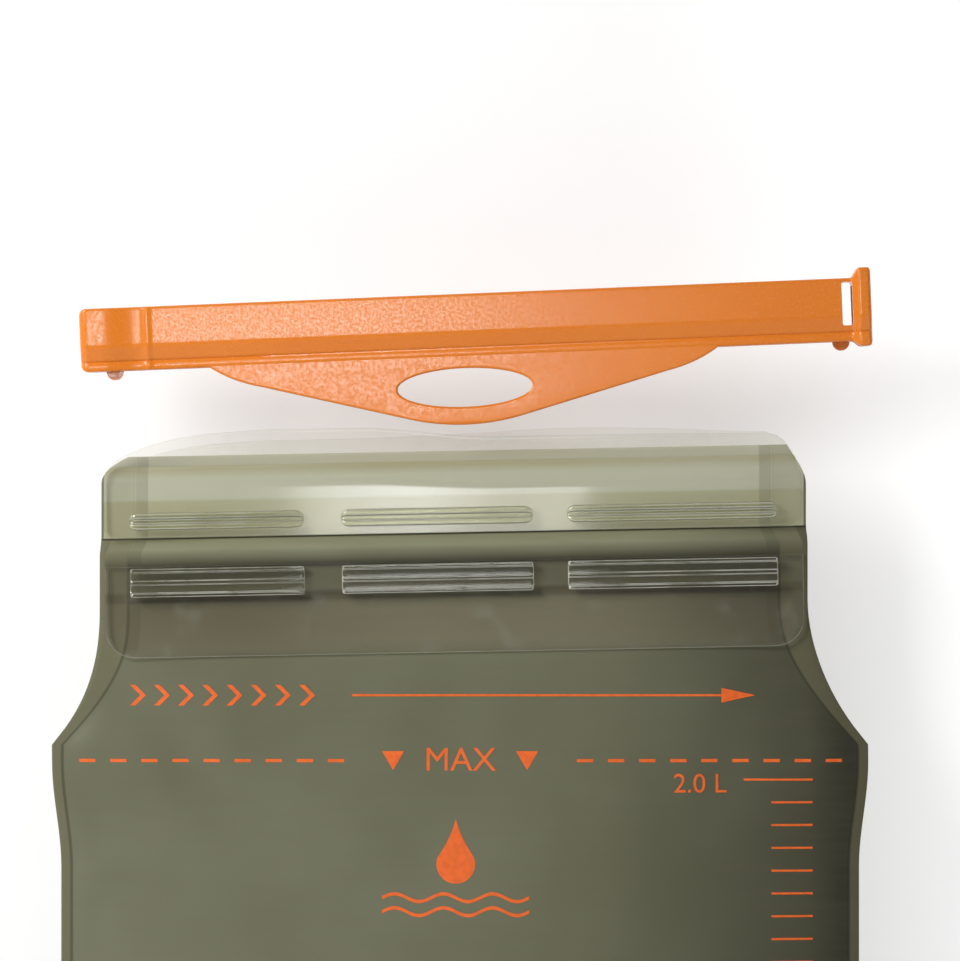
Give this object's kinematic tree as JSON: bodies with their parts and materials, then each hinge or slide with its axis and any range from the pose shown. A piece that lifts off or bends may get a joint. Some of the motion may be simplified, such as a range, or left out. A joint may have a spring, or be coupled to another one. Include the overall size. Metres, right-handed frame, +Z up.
{
  "type": "hydration bladder",
  "caption": "Soft reservoir with a fold-over railed mouth, a slide-on closure channel with a finger loop, a push-button hose outlet, a coiled drink tube and a capped bite valve.",
  "frame": {"origin": "middle of the back film's bottom edge, halfway through its thickness, where the bag stands in the foot of a sleeve", "axes": "+Z up along the bag towards its mouth, -Y out of the front of the bag, +X to the right seen from the front"},
  "size_m": [0.1981, 0.2497, 0.3757],
  "materials": {
    "olive_film": "satin, slightly translucent",
    "clear_strip": "clear, glossy",
    "orange_plastic": "satin moulded",
    "dark_plastic": "satin moulded",
    "grey_plastic": "satin moulded",
    "seal_rubber": "matt",
    "tube": "clear, smooth",
    "silicone": "milky, satin",
    "spring_steel": "bright"
  },
  "bodies": {
    "reservoir": {"front_film": "olive_film", "back_film": "olive_film", "lower_seal_plate": "clear_strip", "back_neck_plate": "clear_strip", "lower_rail_left": "clear_strip", "lower_rail_centre": "clear_strip", "lower_rail_right": "clear_strip", "outlet_flange": "grey_plastic", "socket_housing": "dark_plastic", "button_spring": "spring_steel"},
    "mouth_flap": {"front_lip_film": "olive_film", "back_lip_film": "olive_film", "front_lip_plate": "clear_strip", "back_lip_plate": "clear_strip", "upper_rail_left": "clear_strip", "upper_rail_centre": "clear_strip", "upper_rail_right": "clear_strip"},
    "slider": {"closure_slider": "orange_plastic"},
    "button": {"release_button": "orange_plastic"},
    "hose_plug": {"plug_core": "grey_plastic", "plug_o_ring": "seal_rubber", "swivel_o_ring": "seal_rubber"},
    "hose": {"swivel_elbow": "dark_plastic", "drink_tube": "tube", "valve_body": "dark_plastic", "mouthpiece": "silicone"},
    "shutoff": {"shutoff_barrel": "orange_plastic"},
    "cap": {"dust_cap": "clear_strip"}
  },
  "joints": [
    {"name": "mouth_fold", "type": "hinge", "parent": "reservoir", "child": "mouth_flap", "pos_m": [-0.0015, -0.00475, 0.313], "axis": [0.9998, 0, 0.0192], "range_deg": [0, 180]},
    {"name": "slider_slide", "type": "slide", "parent": "reservoir", "child": "slider", "axis": [0.9992, 0, 0.0408], "range_m": [-0.19, 0]},
    {"name": "button_press", "type": "slide", "parent": "reservoir", "child": "button", "axis": [0, 0, -1], "range_m": [0, 0.0015], "stiffness_N_per_m": 900, "springref_m": -0.001, "deforming": ["button_spring"]},
    {"name": "plug_pull", "type": "slide", "parent": "reservoir", "child": "hose_plug", "axis": [0, -1, 0], "range_m": [0, 0.014]},
    {"name": "elbow_swivel", "type": "hinge", "parent": "hose_plug", "child": "hose", "pos_m": [0, -0.0417, 0.048], "axis": [0, -1, 0], "continuous": true},
    {"name": "shutoff_turn", "type": "hinge", "parent": "hose", "child": "shutoff", "pos_m": [-0.055, -0.22343, 0.01], "axis": [0, 0, -1], "range_deg": [0, 90]},
    {"name": "dust_cap_pull", "type": "slide", "parent": "hose", "child": "cap", "axis": [-1, 0, 0], "range_m": [0, 0.045]}
  ]
}
